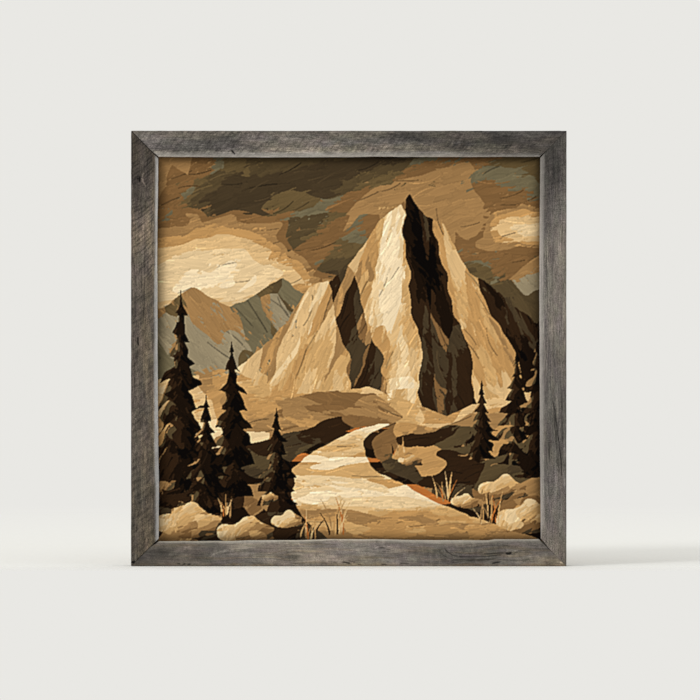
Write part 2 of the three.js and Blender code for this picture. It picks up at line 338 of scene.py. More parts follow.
# Cracks, slits and worm holes: from (along, across) to (along, across), bow, half the width and depth. A
# depth below nothing is a pale scratch that stands on the surface.
MARKS = {
    "bottom": [
        (157, 13.8, 183, 14.8, 0.6, 0.55, 0.9), (182, 15.2, 191, 16.4, -1.2, 1.3, 1.8),
        (192, 13.5, 199, 16.5, 1, 0.5, 0.6), (166, 2.6, 178, 4.4, 0.8, 0.9, 1.1),
        (-164, 11, -126, 19.8, 2.2, 1.7, -0.62), (-158, 9, -128, 13.5, 1.6, 1.5, -0.3),
        (-211, 12.6, -182, 22.8, 0.6, 2.6, -0.42), (-206, 8, -186, 13.5, 0.8, 2, -0.25),
        (-130, 19.6, -108, 21.6, 0.8, 1.4, -0.3), (184, 12.8, 192, 12.6, -0.9, 0.6, -0.8),
        (176, 12.6, 186, 11.6, 0.3, 0.5, -0.5), (246, 4.2, 251, 2.6, 0.2, 0.9, -1.1),
        (-201, 2.6, -196, 1.6, 0.2, 0.7, 1), (-193.5, 1.4, -190, 3.2, 0.2, 0.7, 1),
        (-188, 1.2, -184, 2, 0.2, 0.7, 0.9), (-90, 10, 5, 12.5, 2, 0.45, 0.35),
        (20, 20.5, 96, 17.5, 1.5, 0.45, 0.4), (60, 5, 150, 8.5, -1.6, 0.45, 0.4),
        (140, 20, 196, 21.5, 3.4, 0.45, 0.5), (168, 9.5, 214, 8.5, -3.2, 0.45, 0.5),
        (118, 3, 166, 7.2, 1.2, 0.5, 0.55), (196, 16.6, 236, 19.5, 1.4, 0.4, 0.45),
        (-40, 18.5, 24, 23, -1.6, 0.45, 0.35), (228, 3.5, 247, 1.6, 0.6, 0.5, 0.6),
        (35, 21, 44, 20.5, 0.3, 0.6, 0.9), (43, 18.9, 50, 18.2, 0.4, 0.5, 0.7),
        (37, 17.5, 45, 17.4, -0.4, 0.5, 0.6), (30, 19.2, 36, 22, 1, 0.7, -0.6),
        (44, 22.3, 54, 20.6, 0.6, 0.6, -0.5), (24, 15.6, 60, 15, -1, 0.5, 0.35),
        (111, 21.5, 128, 10.8, -2.6, 0.8, 0.75), (127, 10.9, 180, 13.6, -1.4, 0.7, 0.7),
        (104, 21, 121, 7.6, -2.8, 0.7, 0.6), (120, 7.8, 172, 8.4, -1.6, 0.7, 0.65),
        (119, 19.6, 134, 14, -1.8, 0.6, 0.55), (133, 14.1, 160, 16.5, -0.8, 0.6, 0.5),
        (-9, 4.6, 3, 2, 0.5, 0.9, 1), (-3, 6.4, 9, 3.4, 0.5, 0.6, 0.7), (-26, 5.4, -12, 3.2, 0.4, 0.6, 0.6),
        (9, 1.8, 17, 0.8, 0.2, 0.6, 0.8), (37, 2.2, 46, 0.8, 0.3, 0.6, 0.9),
        (58, 3.4, 72, 1.8, 0.3, 0.6, 0.7), (82, 4.6, 98, 2.6, 0.4, 0.5, 0.6),
        (-70, 3, -50, 1.6, 0.3, 0.5, 0.6),
    ],
    "right": [
        (-150, 5, -60, 15.6, -1.2, 0.6, 0.95), (-138, 10.4, -74, 14.6, -0.5, 0.5, 0.75),
        (-146, 8.2, -96, 11.6, -0.4, 0.5, 0.7), (-118, 3.2, -52, 5, 0.6, 0.4, 0.5),
        (-20, 11.5, 80, 13, 0.8, 0.4, 0.35), (60, 20.5, 150, 19, 0.5, 0.4, 0.3),
        (-128, 20, -108, 20.8, 0, 0.5, 0.6),
    ],
    "top": [
        (137.4, 21.8, 132.4, 29.6, 0.2, 0.75, 2.4), (-216.8, 15.4, -217.8, 15.9, 0, 0.8, 1.2),
        (-222.8, 22.6, -223.6, 23.2, 0, 0.9, 1.4), (31.5, 13, 30.5, 23, 0.3, 1.1, 0.35),
        (96, 23.8, 60, 24.6, 0.4, 0.5, 0.6), (-40, 20.5, -62, 21.5, 0.5, 0.5, 0.5),
    ],
    "left": [
        (-202, 11, -192.8, 10.8, -0.9, 0.8, 1.7), (-199, 10, -197.8, 6.4, 0, 0.8, 1.6),
        (-14.5, 8, -2, 8.6, -0.4, 0.7, 1.5), (-116, 15.8, -32, 15.2, 0.6, 0.4, 0.45),
        (14, 3.4, 60, 4.6, 0.5, 0.5, 0.6), (204, 6.5, 216, 6, 0.3, 0.5, 0.8),
        (218, 18, 232, 12, 0.4, 0.45, 0.6), (222, 21, 236, 15, 0.4, 0.4, 0.5),
        (249.3, -1, 249, 5.6, 0, 1, 2.6), (-206.5, 15.4, -199.5, 12.6, 0.2, 0.8, -2.4),
        (-200, 12.4, -190.5, 15.6, -0.5, 0.8, -2.4), (-191, 15.6, -188.5, 17.2, 0, 0.7, -1.5),
        (-18.3, 25.3, -17.1, 25.5, 0, 0.7, -3.5), (81.8, 4.6, 83, 4.8, 0, 0.6, -2.5),
        (-249, 0.9, -190, 1.5, 0.2, 0.6, 0.8), (-150, 1.4, -98, 2, -0.3, 0.5, 0.6),
        (-96, 10.6, -62, 12.8, 0.6, 0.5, 0.6), (-72, 14.4, -30, 13.6, 0.8, 0.5, 0.6),
    ],
}

# Knots: along, across, and how far they bend the grain around them.
KNOTS = {
    "bottom": [(187, 15.6, 11), (171, 3.5, 6), (-64, 12, 8), (41, 19.4, 9)],
    "right": [],
    "top": [],
    "left": [(-197, 11, 6)],
}

# Stains: along, across, half the length and width, and how much lighter or darker.
STAINS = {
    "bottom": [
        (-212, 13, 22, 9, -0.1), (-150, 8, 24, 8, -0.08), (-68, 12, 16, 8, -0.09), (40, 8, 34, 5, -0.06),
        (128, 6, 26, 5, -0.1), (214, 6, 16, 7, 0.16), (192, 6, 14, 7, 0.07), (10, 19, 60, 5, 0.05),
    ],
    "right": [
        (210, 15, 27, 9, -0.12), (150, 22, 30, 6, -0.06), (108, 7, 30, 7, 0.05), (-110, 5, 26, 5, -0.06),
    ],
    "top": [
        (-180, 13, 16, 9, -0.16), (-128, 15, 24, 10, -0.14), (-98, 8, 18, 7, -0.1), (-62, 6, 26, 6, -0.1),
        (-215, 22, 26, 7, -0.1), (-215, 4, 26, 6, 0.12), (-160, 23, 20, 4, 0.12), (166, 8, 18, 8, -0.1),
        (236, 12, 18, 12, 0.08), (40, 18, 30, 8, 0.06),
    ],
    "left": [
        (-205, 5, 40, 6, -0.16), (-215, 22, 18, 6, -0.08), (-130, 18, 40, 9, 0.08), (-30, 4, 60, 5, -0.05),
        (150, 20, 60, 6, -0.06), (222, 6, 16, 7, -0.06),
    ],
}
RAW_WOOD = (138, 116, 88)  # in the rabbet and at the back


def section_loop():
    """The moulding's section, round from the outer front edge: across, deep, and w, the way along the
    surface from that edge, which is positive over the face and lip and negative down the outer side."""
    # across, deep, how round the edge is there, and the spacing of the mesh from there to the next one
    corners = [
        (0, 0, OUTER_ROUND, ON_FACE),
        (FACE - LIP, 0, 1.6 * MM, 0.7 * MM),
        (FACE, LIP_DROP, 0.9 * MM, 1.0 * MM),
        (FACE, LEDGE, 0.3 * MM, 2.0 * MM),
        (WALL, LEDGE, 0.3 * MM, 4.0 * MM),
        (WALL, DEPTH, 0.8 * MM, 1.3 * MM),
        (0, DEPTH, 0.9 * MM, 1.1 * MM),
    ]
    path = []
    for i, (x, y, radius, spacing) in enumerate(corners):
        here = np.array([x, y])
        before = np.array(corners[i - 1][:2]) - here
        after_x, after_y, next_radius, _ = corners[(i + 1) % len(corners)]
        after = np.array([after_x, after_y]) - here
        span = np.linalg.norm(after)
        enter = here + before / np.linalg.norm(before) * radius
        leave = here + after / span * radius
        for t in (0.0, 0.25, 0.5, 0.75):
            path.append((1 - t) ** 2 * enter + 2 * t * (1 - t) * here + t**2 * leave)
        straight = span - radius - next_radius
        pieces = max(1, round(straight / spacing))
        for k in range(pieces):
            path.append(leave + after / span * straight * k / pieces)
    path = np.array(path)
    lengths = np.linalg.norm(np.roll(path, -1, axis=0) - path, axis=1)
    start = -1.0 * MM  # the loop starts below the edge's round
    w = np.concatenate([[0], np.cumsum(lengths)[:-1]]) + start
    on_side = (path[:, 0] < 0.2 * MM) & (path[:, 1] > OUTER_ROUND + 0.01 * MM)
    return path[:, 0], path[:, 1], np.where(on_side, w - lengths.sum(), w)


def line_depth(table, a, w):
    """How deep the cracks of a table go at each point, in millimetres, and how high its scratches stand."""
    depth, pale = np.zeros_like(a), np.zeros_like(a)
    for a0, c0, a1, c1, bow, half_width, deep in table:
        run, rise = a1 - a0, c1 - c0
        long = math.hypot(run, rise)
        s = ((a - a0) * run + (w - c0) * rise) / long**2
        off = ((w - c0) * run - (a - a0) * rise) / long - bow * 4 * s * (1 - s)
        off = off + 0.9 * (noise(a / 9, w / 30, round(abs(a0))) - 0.5)
        soft_end = min(0.3, 3.0 / long)
        mark = step(-0.02, soft_end, s) * step(1.02, 1 - soft_end, s) * bell(off, half_width)
        depth = np.maximum(depth, deep * mark)
        pale = np.maximum(pale, -deep * mark)
    dusty = 0.25 + 1.5 * noise(a / 1.5, w / 1.2, 47)
    return depth, pale * dusty


def drying_cracks(side):
    """Short hairline cracks, scattered along the grain."""
    rng = np.random.default_rng(RAILS[side]["seed"])
    half_width = 0.42
    table = []
    for _ in range(RAILS[side]["cracks"]):
        along, across = rng.uniform(-245, 235), rng.uniform(1.5, 25.5)
        long, lean = rng.uniform(5, 26), rng.normal(0, 0.02)
        bow, deep = rng.normal(0, 0.3), rng.uniform(0.1, 0.42)
        table.append((along, across, along + long, across + lean * long, bow, half_width, deep))
    return table


def saw_lines(side, a, w):
    """Marks left across the grain by the saw: 1 in a groove, with the strength that it has there."""
    seed = RAILS[side]["seed"]
    groove, shows = np.zeros_like(a), np.zeros_like(a)
    for first, last, low, high, slope, pitch, strength in SAW_MARKS[side]:
        phase = (a + slope * w + 0.012 * (w - 14) ** 2) / pitch + 0.9 * noise(a / 26, w / 14, seed + 61)
        number = np.floor(phase)
        off = phase - number - 0.5
        dip = bell(off, min(0.25, 0.65 / pitch + 0.02 * pitch))
        dip = dip * step(0.1, 0.6, noise(number * 7.7, w / 6 + number * 3.1, seed + 62))
        here = step(first, first + 14, a) * step(last, last - 14, a)
        here = here * step(low, low + 2, w) * step(high, high - 2, w)
        here = here * strength * step(0.25, 0.45, fractal(a / 30, w / 13, seed + 63, 3))
        ridge = bell(off - 1.3 / pitch, 0.14)
        groove = np.maximum(dip * here, groove) - 0.5 * ridge * here * (groove < 0.1)
        shows = np.maximum(shows, here)
    return groove, shows


def stain_light(side, a, w):
    """Soft lighter and darker patches."""
    light = np.zeros_like(a)
    ragged = 0.9 * ripple(a / 7, w / 4, RAILS[side]["seed"] + 71, 3)
    for along, across, long, wide, strength in STAINS[side]:
        reach = np.hypot((a - along) / long, (w - across) / wide) + ragged
        light = light + strength * step(1.25, 0.45, reach)
    return light


def bare_share(side, a, w, grain):
    """Where the grey skin has gone: in a ragged band by the lip on the top rail, in brown streaks low on
    the bottom one, and thinly on the others."""
    seed = RAILS[side]["seed"] + 90
    if side == "top":
        slanted = a - 0.75 * w
        reach = 15 * fractal(slanted / 8, w / 60, seed + 1, 4) * step(150, 20, a) * step(-260, -60, a + 60)
        band = step(-3.4, 3.4, w - (23.9 - reach))
        return band * (0.62 + 0.38 * fractal(slanted / 3, w / 5, seed + 2, 3))
    if side == "bottom":
        streaks = step(0.56, 0.72, fractal(a / 46, grain / 3.6, seed, 3))
        ragged = w + 5 * fractal(a / 12, a * 0, seed + 3, 3)
        low = (step(60, 130, a) + 0.7 * step(-60, -120, a)) * step(6.5, 2.0, ragged)
        low = low + 0.9 * step(-40, -10, a) * step(80, 40, a) * step(8, 3, ragged)
        return np.clip(0.4 * streaks + 0.8 * low + 0.35 * step(205, 235, a) * step(16, 6, w), 0, 1)
    if side == "left":
        inner = step(4, 20, w) * step(0.42, 0.6, fractal(a / 34, w / 10, seed + 2, 3))
        worn_end = step(190, 235, a) * step(0.4, 0.6, fractal(a / 9, w / 5, seed, 3))
        return np.clip(0.6 * inner + 0.4 * worn_end, 0, 1)
    streaks = step(0.5, 0.7, fractal(a / 36, grain / 2.6, seed, 3))
    worn_end = step(-205, -238, a) * step(22, 4, w)
    return np.clip(0.25 * streaks + 0.5 * worn_end, 0, 1)


def rail_surface(side, a, c, w, deep, to_mitre, opened):
    """The relief of the wood at each point, outwards in millimetres, its colour, and how worn smooth."""
    spec = RAILS[side]
    seed = spec["seed"]
    face_end, lip_end, ledge, depth = (size / MM for size in (FACE - LIP, LIP_DROP, LEDGE, DEPTH))

    def field(long, wide, number, octaves=3):
        """Noise with features so many millimetres long and wide."""
        return fractal(a / long, w / wide, seed + number, octaves)

    # the parts of the section
    in_front = (w > -0.5) & (deep < ledge + 0.2)
    width, wander = spec["lip_grows"]
    line = np.interp(a, *zip(*spec["lip"])) + 2 * wander * ripple(a / 34, a * 0, seed + 3, 3)
    lip = step(line, line + width, c) * in_front
    rabbet = step(ledge - 0.5, ledge + 1.5, deep) * (c > 5) * (deep < depth - 1)
    back = step(depth - 1.2, depth - 0.5, deep)
    arris = bell(w, 1.4)
    joint = bell(to_mitre, 0.6) * np.clip(opened / 0.2, 0.1, 1)

    # the grain, bent round the knots
    grain = w + spec["waves"] * (field(42, 16, 5) - 0.5)
    for along, across, bend in KNOTS[side]:
        near = bell(a - along, 2.2 * bend) * bell(w - across, 1.1 * bend)
        grain = grain - bend * 0.6 * near * np.tanh((w - across) / 1.5)
    streak = ripple(a / 30, grain / 1.3, seed + 1, 2)
    broad = ripple(a / 60, grain / 2.6, seed + 8, 2)
    speck = 0.5 * noise(a / 1.7, w / 1.5, seed + 2) + 0.5 * noise(a / 5, w / 1.15, seed + 11) - 0.5
    chatter_strength, lean = spec["chatter"]
    leant = a + lean * w
    chatter = 0.6 * noise(leant / 1.5, w / 6, seed + 12) + 0.4 * noise(leant / 3.1, w / 9, seed + 13) - 0.5
    drift = 9 * (noise(a / 13, w / 9, seed + 14) - 0.5)
    patch = ripple((a + drift) / 20 + w / 14, (w + 0.7 * drift) / 8, seed + 6, 4)
    cloud = field(60, 16, 7) - 0.5
    busy = 0.45 + 1.1 * step(0.3, 0.7, field(26, 11, 15))
    scraped = 0.4 + 1.2 * step(0.3, 0.7, field(17, 12, 16))
    tint = field(15, 6, 17, 4) - 0.5

    # marks in the surface
    groove, shows = (share * in_front for share in saw_lines(side, a, w))
    table = MARKS[side] + drying_cracks(side)
    cracks, pale = (size * in_front for size in line_depth(table, a, w))
    cracks = cracks * (1 - 0.7 * lip * (c > face_end + 3))
    rubbed = 0.55 * arris * step(0.4, 0.8, fractal(a / 15, a * 0 + 3, seed + 4, 3))

    rough = 1 - 0.6 * lip
    relief = 0.35 * (field(60, 9, 0) - 0.5)
    relief += rough * (0.3 * streak + 0.2 * speck * (0.4 + spec["speck"]) - 0.3 * groove)
    relief += 0.12 * pale - cracks - rubbed - 0.3 * joint * (deep < 9)
    relief += back * 0.5 * streak

    # the colour, and how much lighter or darker the wood is
    warm_side = 0.1 * (w / face_end - 0.5) if side == "left" else 0
    color = blend(spec["cool"], spec["warm"], step(-0.16, 0.14, cloud + warm_side))
    color = blend(color, spec["bare"], bare_share(side, a, w, grain) * in_front * (1 - lip))
    color = color * (1 + tint[..., None] * np.array([-0.02, 0.05, -0.04]))
    fade = np.interp(a + 30 * cloud + 1.2 * (w - 14), *zip(*spec["fade"]))
    color = color * fade[..., None]
    # painted light: the rubbed lip's colour, besides being pale worn wood, is lighter where the lip faces
    # away from the key light and darker where it faces it
    color = blend(color, np.array(spec["rubbed"]) * (0.55 + 0.45 * fade)[..., None], 0.85 * lip)
    color = blend(color, RAW_WOOD, 0.85 * np.maximum(rabbet, back))
    light = 1 + rough * (spec["patch"] * patch + spec["cloud"] * cloud)
    light += rough * spec["streak"] * busy * (0.6 * streak + 0.45 * broad)
    light += rough * (spec["speck"] * speck + chatter_strength * scraped * chatter)
    light += stain_light(side, a, w) * in_front * (1 - 0.6 * lip)
    light += 0.05 * shows * rough - 0.5 * groove * rough + 0.5 * pale
    # painted highlight: a thin brighter line along the crest of the inner edge, where the rubbed lip turns
    # down to the print
    inner_edge_highlight = step(29.4, 30.7, c) * (deep < lip_end + 0.8)
    light += 0.12 * inner_edge_highlight

    # the back was sawn and never weathered: year rings and the marks of the blade
    kerf = scraped * (noise((a + 0.5 * w) / 1.4, w / 7, seed + 21) - 0.5)
    ringed = w + 9 * ripple(a / 120, w / 60, seed + 23, 2)
    year_rings = ripple(a / 80, ringed / 1.5, seed + 22, 3)
    light = np.where(back > 0.5, 0.98 + 0.6 * year_rings + 0.14 * kerf + 0.3 * cloud, light)

    # cracks and joints are darker; the outer edge's round and the rabbet are darkened by painted shade
    light *= 1 - 0.72 * step(0.12, 1.1, cracks)
    light *= 1 - 0.5 * joint
    # painted shade along the round of the outer front edge
    light *= 1 - 0.1 * bell(w - 0.2, 0.9)
    # painted shade in the rabbet, the recess at the back
    light *= 1 - 0.35 * rabbet
    return relief, color * np.clip(light, 0.1, 1.6)[..., None], lip


def rail_mesh(side, material):
    """One rail with its mitres, as a closed mesh in its own place."""
    spec = RAILS[side]
    across, deep, w = section_loop()
    loop = len(across)
    stations = round(SIDE / STATION)
    t = np.linspace(-1, 1, stations + 1)[:, None]
    at_start, at_end = (outer + (inner - outer) * (across / FACE) ** 3 for outer, inner in spec["mitres"])
    opened = np.where(t > 0, at_end, at_start)
    reach = HALF - across - opened * MM * (1 - deep / DEPTH) ** 2
    along = t * reach
    a, c, ww, dd = (np.broadcast_to(v, along.shape) / MM for v in (along, across, w, deep))
    relief, color, lip = rail_surface(side, a, c, ww, dd, (reach - np.abs(along)) / MM, opened)
    tangent_x = np.roll(across, -1) - np.roll(across, 1)
    tangent_y = np.roll(deep, -1) - np.roll(deep, 1)
    size = np.hypot(tangent_x, tangent_y)
    out_across, out_deep = tangent_y / size, -tangent_x / size
    nose = np.interp(a, *zip(*spec["nose"])) + 0.36 * ripple(a / 16, a * 0 + 1, spec["seed"] + 9, 3)
    nose = nose * step(21, 31, c) * (dd < LEDGE / MM + 1)
    y = FRONT_Y + deep + out_deep * relief * MM
    z = across + (out_across * relief + nose) * MM - HALF
    points = np.stack([along, y, z], -1).reshape(-1, 3)
    turn = Matrix.Rotation(math.radians(spec["turn"]), 3, "Y")
    points = points @ np.array(turn).T + np.array([0, 0, HALF])

    i, j = np.meshgrid(np.arange(stations), np.arange(loop), indexing="ij")
    low, high = i * loop + j, i * loop + (j + 1) % loop
    quads = np.stack([low, high, high + loop, low + loop], -1)
    ends = [np.arange(loop), np.arange(stations * loop + loop - 1, stations * loop - 1, -1)]
    piece = mesh_object(f"weathered_rail_{side}", points, quads, ends, material)

    # on the sheet each half of the rail's length is a row, and its two ends lie beside them
    row_long, row_high, second_row = 0.94, 0.49, 0.505
    end_x, end_ys, end_size = 0.95, (0.02, 0.08), 0.04
    half = stations // 2
    row = i // half
    u = np.stack([i, i, i + 1, i + 1], -1) - (row * half)[..., None]
    v = np.stack([j, j + 1, j + 1, j], -1)
    sheet = np.stack([row_long * u / half, row_high * v / loop + second_row * row[..., None]], -1)
    end = np.stack([end_x + end_size * across / DEPTH, end_size * deep / DEPTH], -1)
    bake_map(piece, np.concatenate([sheet.reshape(-1, 2), end + [0, end_ys[0]], end[::-1] + [0, end_ys[1]]]))

    skin = np.concatenate([linear(color), lip[..., None]], -1)
    point_attribute(piece, "skin", "FLOAT_COLOR", skin)
    place = np.stack([a * MM + spec["seed"], ww * MM, a * 0], -1)
    point_attribute(piece, "grain_place", "FLOAT_VECTOR", place)
    shade(piece, 55)
    return piece


def barn_wood(name, fine):
    """Weathered wood: its colour at each point, with fine grain from noise drawn out along the rail."""
    n = Nodes(name)
    place = n.attribute("grain_place").outputs["Vector"]
    skin = n.attribute("skin")
    worn = skin.outputs["Alpha"]
    streak = n.noise(place, (34, 620, 1), 4, 0.6)
    fibre = n.noise(place, (75, 900, 1), 3, 0.65)
    pits = n.noise(place, (780, 980, 1), 3, 0.65, 0.4)
    rough = n.remap(worn, 0, 1, 1.0, 0.35)
    light = n.plus(n.vary(streak, -0.08, 0.08), n.vary(fibre, -0.1, 0.1), n.vary(pits, -0.26, 0.2))
    light = n.plus(n.times(light, rough, fine), 1.0)
    height = n.plus(n.times(streak, 0.5), n.times(fibre, 0.3), n.times(pits, 0.5))
    n.bump(n.times(height, rough), 0.3 * MM, 0.55)
    return n.finish(n.brighten(skin.outputs["Color"], light), n.remap(worn, 0, 1, 0.88, 0.62), 0.25)


def build_rails():
    for side in RAILS:
        piece = rail_mesh(side, barn_wood(f"barn_wood_{side}", RAILS[side]["fine"]))
        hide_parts(f"frame_rail_{side}")
        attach(piece, "root")


# ---- the painted landscape
PIGMENTS = {
    "cream": (240, 217, 178), "pale": (227, 198, 152), "sand": (214, 178, 126), "tan": (201, 160, 104),
    "gold": (187, 143, 88), "bronze": (158, 121, 76), "brown": (126, 93, 56), "rust": (176, 106, 50),
    "stone": (150, 136, 108), "sage": (112, 102, 76), "olive": (100, 82, 52), "moss": (84, 69, 45),
    "shade": (68, 55, 37), "umber": (46, 30, 16), "bark": (25, 15, 7), "black": (8, 5, 3),
}
PRINT_MM = (PRINT_HIGH.x - PRINT_LOW.x) / MM
FINE_POINTS = 601
POINTS = FINE_POINTS  # points of the print's mesh along each side


def facet(u, v, seed):
    """A random number for each cell of a pattern of broken facets with wandering edges, one unit across."""
    bend_u = noise(u * 1.4, v * 1.4, seed + 5) - 0.5
    bend_v = noise(u * 1.4, v * 1.4, seed + 6) - 0.5
    u, v = u + 0.75 * bend_u, v + 0.75 * bend_v
    best = np.full(u.shape, 9.0)
    value = np.zeros(u.shape)
    iu, iv = np.floor(u), np.floor(v)
    for du in (-1, 0, 1):
        for dv in (-1, 0, 1):
            cu, cv = iu + du, iv + dv
            reach = np.hypot(cu + lattice(cu, cv, seed) - u, cv + lattice(cu, cv, seed + 1) - v)
            nearer = reach < best
            best = np.where(nearer, reach, best)
            value = np.where(nearer, lattice(cu, cv, seed + 2), value)
    return value


class Sketch:
    """The drawing under the paint: a pigment and a brush direction at each point. x and y run from 0 to
    1, from the lower left; wx and wy are the same with a trembling hand."""

    def __init__(self):
        line = np.linspace(0, 1, POINTS)
        self.x, self.y = np.meshgrid(line, line)
        self.wx = self.x + 0.012 * ripple(self.x * 22, self.y * 22, 301, 3)
        self.wy = self.y + 0.012 * ripple(self.x * 22, self.y * 22, 302, 3)
        self.color = np.zeros((POINTS, POINTS, 3))
        self.angle = np.zeros((POINTS, POINTS))

    def under(self, rough, seed, fineness, *outline):
        """Which points lie under a skyline through the points of the outline."""
        crest = np.interp(self.wx, *zip(*outline)) + rough * ripple(self.wx * fineness, 0 * self.wx, seed)
        return self.wy < crest

    def fill(self, where, angle, light, ground, *steps):
        """Paint with the ground pigment and, above each lightness in steps, with the one after it."""
        self.color[where] = PIGMENTS[ground]
        for least, pigment in zip(steps[::2], steps[1::2]):
            self.color[where & (light > least)] = PIGMENTS[pigment]
        self.angle = np.where(where, angle, self.angle)


def draw_sky(s):
    x, y = s.wx, s.wy
    drift = facet(x * 3.6 + y * 1.2, y * 6.5 - x * 2.0, 11)
    heavy = fractal(x * 2.2 + y * 1.2, y * 5.0 - x * 1.8, 5, 2) + 0.3 * (drift - 0.5)
    s.fill(s.y > -1, 0.35 + 0.9 * ripple(s.x * 2, s.y * 2, 9, 2), heavy,
           "shade", 0.38, "moss", 0.47, "olive", 0.575, "sage", 0.65, "brown", 0.76, "bronze")
    x = x + 0.34 * ripple(x * 4.2, y * 8, 14, 3)
    y = y + 0.17 * ripple(x * 3.4, y * 7, 15, 3)
    gleam = 1.08 * bell(x - 0.12, 0.36) * bell(y - 0.705, 0.12)
    gleam += 0.85 * bell(x - 0.97, 0.2) * bell(y - 0.79, 0.1)
    gleam += 0.45 * ripple(x * 2.6 + y, y * 11 - x * 2.6, 13, 2) + 0.14 * (drift - 0.5)
    s.fill(gleam > 0.36, 0.12, gleam,
           "brown", 0.46, "bronze", 0.58, "gold", 0.7, "sand", 0.84, "pale", 1.0, "cream")


def draw_far_range(s):
    where = s.under(0.05, 3, 9, (0, 0.6), (0.1, 0.655), (0.2, 0.6), (0.33, 0.67), (0.5, 0.6), (0.8, 0.66),
                    (1, 0.69))
    light = facet(s.wx * 11 + s.wy * 5, s.wy * 7, 12) + 0.25 * (s.wx < 0.3)
    s.fill(where, -0.8, light, "moss", 0.3, "olive", 0.5, "sage", 0.8, "stone", 1.02, "bronze")


def draw_peak(s):
    x, y = s.wx, s.wy
    summit_x, summit_y = 0.655, 0.895
    where = s.under(0.03, 21, 14, (0, 0.3), (0.12, 0.38), (0.3, 0.52), (0.4, 0.655), (0.46, 0.67),
                    (0.58, 0.82), (summit_x, summit_y), (0.7, 0.83), (0.745, 0.81), (0.81, 0.69),
                    (0.88, 0.645), (1, 0.55))
    drop = np.clip(summit_y - y, 0, 1)
    fan = (x - summit_x) / (0.22 + 0.9 * drop)
    spine = summit_x + 0.09 * drop + 0.1 * ripple(y * 7, 0 * y, 41, 3)
    spur = 0.4 + 0.25 * drop + 0.07 * ripple(y * 8, 0 * y, 43, 3)
    lit_side = x < spine
    light = np.where(lit_side, 0.68, 0.2)
    light -= 0.3 * ((x > spur) & (x < spur + 0.05 + 0.08 * drop) & lit_side)
    light += 0.42 * ((x > spine + 0.06 + 0.16 * drop) & (x < spine + 0.1 + 0.34 * drop))
    light += 0.34 * (facet(fan * 10, drop * 4.5 + fan * 3, 33) - 0.5)
    light += 0.16 * (facet(fan * 24, drop * 10 - fan * 4, 35) - 0.5)
    light += 0.2 * bell(x - spine + 0.045, 0.035) * (drop < 0.5)
    s.fill(where, np.where(lit_side, 0.95, -0.95) - 0.5 * np.clip(fan, -0.9, 0.9), light,
           "black", 0.02, "bark", 0.12, "umber", 0.24, "shade", 0.33, "brown", 0.42, "bronze", 0.52, "gold",
           0.62, "tan", 0.71, "sand", 0.8, "pale", 0.9, "cream")


def draw_foothills(s):
    x, y = s.wx, s.wy
    where = s.under(0.04, 51, 6, (0, 0.42), (0.18, 0.45), (0.36, 0.37), (0.55, 0.41), (0.75, 0.33), (1, 0.4))
    light = 0.55 * facet(x * 6 + y * 6, y * 17 - x * 2, 52) + 0.45 * fractal(x * 4, y * 9, 53, 3)
    s.fill(where, 0.25 * np.sin(x * 9) - 0.05, light,
           "brown", 0.2, "bronze", 0.31, "gold", 0.43, "tan", 0.56, "sand", 0.7, "pale")
    where = s.under(0.04, 61, 7, (0, 0.2), (0.25, 0.25), (0.5, 0.33), (0.72, 0.3), (1, 0.37))
    light = 0.6 * facet(x * 8 - y * 4, y * 15, 62) + 0.4 * fractal(x * 4, y * 7, 63, 3)
    s.fill(where, 0.3, light,
           "umber", 0.3, "shade", 0.42, "moss", 0.52, "brown", 0.62, "bronze", 0.72, "gold")


def draw_river(s):
    x, y = s.wx, s.wy
    source = 0.31
    fall = np.clip((source - y) / source, 0, 1)
    middle = 0.6 - 0.34 * np.sin(fall * 2.6) * (1 - fall) + 0.1 * fall
    half = 0.014 + 0.28 * fall**1.2
    off = np.abs(x - middle - 0.035 * ripple(y * 26, 0 * y, 71, 2))
    light = 0.5 * facet(x * 5, y * 34, 72) + 0.5 * fractal(x * 3, y * 26, 73, 3) + 0.12 * (0.5 - fall)
    bank = (off < half + 0.016 + 0.035 * fall) & (y < source - 0.01)
    s.fill(bank, 0.2, light, "bark", 0.5, "umber", 0.66, "rust")
    s.fill((off < half) & (y < source), 0.03, light,
           "bronze", 0.26, "gold", 0.36, "tan", 0.46, "sand", 0.56, "pale", 0.68, "cream")


def draw_near_bank(s):
    x, y = s.wx, s.wy
    where = s.under(0.03, 81, 8, (0, 0.17), (0.16, 0.16), (0.3, 0.09), (0.42, 0.03), (0.5, -0.02), (1, -0.1))
    light = 0.6 * facet(x * 14, y * 20, 82) + 0.4 * fractal(x * 9, y * 11, 83, 3)
    s.fill(where, 0.5, light, "bark", 0.3, "umber", 0.44, "shade", 0.54, "brown", 0.66, "bronze", 0.76, "tan")


# each boulder: middle across and up, and half its width and height
BOULDERS = [
    (0.1, 0.045, 0.085, 0.05), (0.245, 0.02, 0.07, 0.045), (0.345, 0.055, 0.04, 0.026),
    (0.9, 0.135, 0.06, 0.035), (0.8, 0.105, 0.035, 0.022), (0.965, 0.055, 0.075, 0.05),
    (0.3, 0.115, 0.022, 0.015), (0.66, 0.21, 0.03, 0.016),
]


def draw_boulders(s):
    for middle, up, half, high in BOULDERS:
        out_x, out_y = (s.wx - middle) / half, (s.wy - up) / high
        out_y = np.where(out_y < 0, 1.5 * out_y, out_y)
        inside = np.hypot(out_x, out_y) + 0.5 * (noise(out_x * 2, out_y * 2, 111) - 0.5) < 1
        light = 0.55 - 0.28 * out_x + 0.36 * out_y + 0.4 * (facet(s.wx * 26, s.wy * 30, 112) - 0.5)
        s.fill(inside, 0.5 - 0.8 * out_x, light,
               "bark", 0.12, "shade", 0.3, "brown", 0.46, "bronze", 0.6, "tan", 0.74, "sand", 0.9, "pale")


